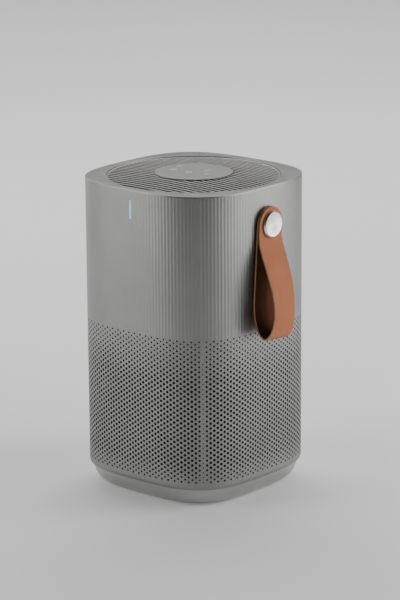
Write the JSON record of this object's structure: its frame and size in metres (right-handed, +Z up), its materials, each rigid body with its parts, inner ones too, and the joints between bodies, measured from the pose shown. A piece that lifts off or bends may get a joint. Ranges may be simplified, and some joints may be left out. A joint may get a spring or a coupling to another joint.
{
  "type": "air purifier",
  "caption": "Small free-standing room air purifier: soft-cornered square column with a perforated lower half, round slatted top outlet, touch disc and a tan leather carrying strap on one side.",
  "frame": {"origin": "the point on the standing plane (the soles of the feet) under the centre of the body; the middle of the filter cover's grip bar is 1.3 mm above it", "axes": "+Z up along the body's axis and the impeller's shaft; the status light faces -Y; the strap hangs on the +X side"},
  "size_m": [0.1792, 0.1561, 0.261],
  "materials": {
    "shell_grey": "satin metallic-grey paint on moulded plastic",
    "disc_grey": "fine satin grey, slightly lighter than the shell",
    "base_grey": "satin grey, finely textured",
    "light_lens": "translucent pale blue light pipe",
    "circuit_board": "green solder mask",
    "black_plastic": "black moulded plastic",
    "white_plastic": "white moulded plastic",
    "filter_paper": "pleated white filter paper",
    "carbon_mesh": "black mesh with carbon",
    "foam": "soft dark foam",
    "rubber": "dark rubber",
    "steel": "plain steel",
    "brushed_steel": "spun satin steel",
    "copper": "enamelled copper winding",
    "magnet": "ferrite magnet",
    "tan_leather": "smooth tan leather with raw, lighter cut edges"
  },
  "bodies": {
    "casing": {"outer_shell": "shell_grey", "top_bezel": "shell_grey", "outlet_grille": "shell_grey", "control_disc": "disc_grey", "base_tray": "base_grey", "status_light_pipe": "light_lens", "control_board": "circuit_board", "status_light_board": "circuit_board", "main_board": "circuit_board", "power_jack": "black_plastic", "filter_cage": "black_plastic", "fan_deck": "black_plastic", "inlet_cone": "black_plastic", "air_duct": "black_plastic", "motor_can": "black_plastic", "motor_mount": "black_plastic", "filter_bottom_cap": "black_plastic", "filter_top_cap": "black_plastic", "filter_media": "filter_paper", "filter_carbon_core": "carbon_mesh", "filter_prefilter": "carbon_mesh", "filter_gasket": "foam", "filter_pull_tab": "foam", "bearing_lower": "steel", "bearing_upper": "steel", "stator_core": "steel", "stator_winding_lower": "copper", "stator_winding_upper": "copper", "strap_washer": "steel", "strap_nut": "steel", "strap_rivet": "brushed_steel", "foot_front_right": "rubber", "base_screw_front_right": "steel", "deck_screw_front_right": "steel", "foot_back_right": "rubber", "base_screw_back_right": "steel", "deck_screw_back_right": "steel", "foot_back_left": "rubber", "base_screw_back_left": "steel", "deck_screw_back_left": "steel", "foot_front_left": "rubber", "base_screw_front_left": "steel", "deck_screw_front_left": "steel", "motor_screw_1": "steel", "motor_screw_2": "steel", "motor_screw_3": "steel"},
    "rotor": {"impeller": "white_plastic", "motor_shaft": "steel", "rotor_magnet": "magnet"},
    "cover": {"filter_cover": "base_grey"},
    "strap": {"carry_strap": "tan_leather"}
  },
  "joints": [
    {"name": "impeller_spin", "type": "hinge", "parent": "casing", "child": "rotor", "pos_m": [0, 0, 0.17], "axis": [0, 0, 1], "continuous": true},
    {"name": "filter_cover_twist", "type": "hinge", "parent": "casing", "child": "cover", "pos_m": [0, 0, 0.005], "axis": [0, 0, 1], "range_deg": [0, 20]},
    {"name": "strap_swing", "type": "hinge", "parent": "casing", "child": "strap", "pos_m": [0.078, 0, 0.2289], "axis": [1, 0, 0], "continuous": true}
  ]
}
